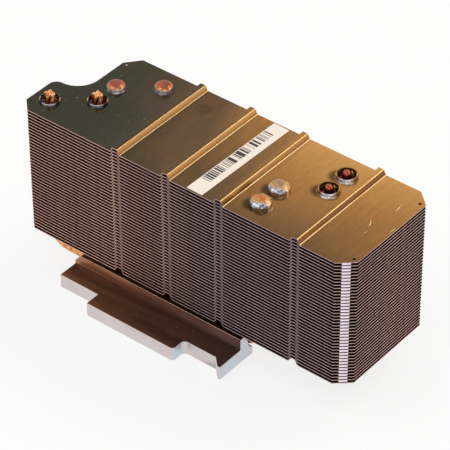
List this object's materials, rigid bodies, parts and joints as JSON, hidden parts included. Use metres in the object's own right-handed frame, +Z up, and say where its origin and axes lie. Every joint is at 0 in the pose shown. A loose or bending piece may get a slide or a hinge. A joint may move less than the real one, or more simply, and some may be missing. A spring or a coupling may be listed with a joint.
{
  "type": "passive server cpu heatsink",
  "caption": "Passive server cpu heatsink: a stack of thin pressed fins on U-shaped heat pipes, held by an aluminium base with clamping ledges.",
  "frame": {"origin": "centre of the flat underside of the base, which rests on the processor, midway along the clamping ledges", "axes": "+X along the fins, towards the end with the fourth rib; +Y across them to the back, where the corner notch is; +Z up, away from the processor"},
  "size_m": [0.133, 0.0676, 0.065],
  "materials": {
    "fin_aluminium": "thin rolled sheet, glossy",
    "pipe_copper": "copper tube, drawn, tinned with solder at its ends",
    "base_aluminium": "extruded and milled",
    "label_paper": null
  },
  "bodies": {
    "root": {"fin_01": "fin_aluminium", "fin_02": "fin_aluminium", "fin_03": "fin_aluminium", "fin_04": "fin_aluminium", "fin_05": "fin_aluminium", "fin_06": "fin_aluminium", "fin_07": "fin_aluminium", "fin_08": "fin_aluminium", "fin_09": "fin_aluminium", "fin_10": "fin_aluminium", "fin_11": "fin_aluminium", "fin_12": "fin_aluminium", "fin_13": "fin_aluminium", "fin_14": "fin_aluminium", "fin_15": "fin_aluminium", "fin_16": "fin_aluminium", "fin_17": "fin_aluminium", "fin_18": "fin_aluminium", "fin_19": "fin_aluminium", "fin_20": "fin_aluminium", "fin_21": "fin_aluminium", "fin_22": "fin_aluminium", "fin_23": "fin_aluminium", "fin_24": "fin_aluminium", "fin_25": "fin_aluminium", "fin_26": "fin_aluminium", "fin_27": "fin_aluminium", "fin_28": "fin_aluminium", "fin_29": "fin_aluminium", "fin_30": "fin_aluminium", "fin_31": "fin_aluminium", "fin_32": "fin_aluminium", "fin_33": "fin_aluminium", "fin_34": "fin_aluminium", "fin_35": "fin_aluminium", "fin_36": "fin_aluminium", "fin_37": "fin_aluminium", "fin_38": "fin_aluminium", "fin_39": "fin_aluminium", "top_fin": "fin_aluminium", "heat_pipe_1": "pipe_copper", "heat_pipe_2": "pipe_copper", "heat_pipe_3": "pipe_copper", "heat_pipe_4": "pipe_copper", "base": "base_aluminium", "label": "label_paper"}
  },
  "joints": []
}
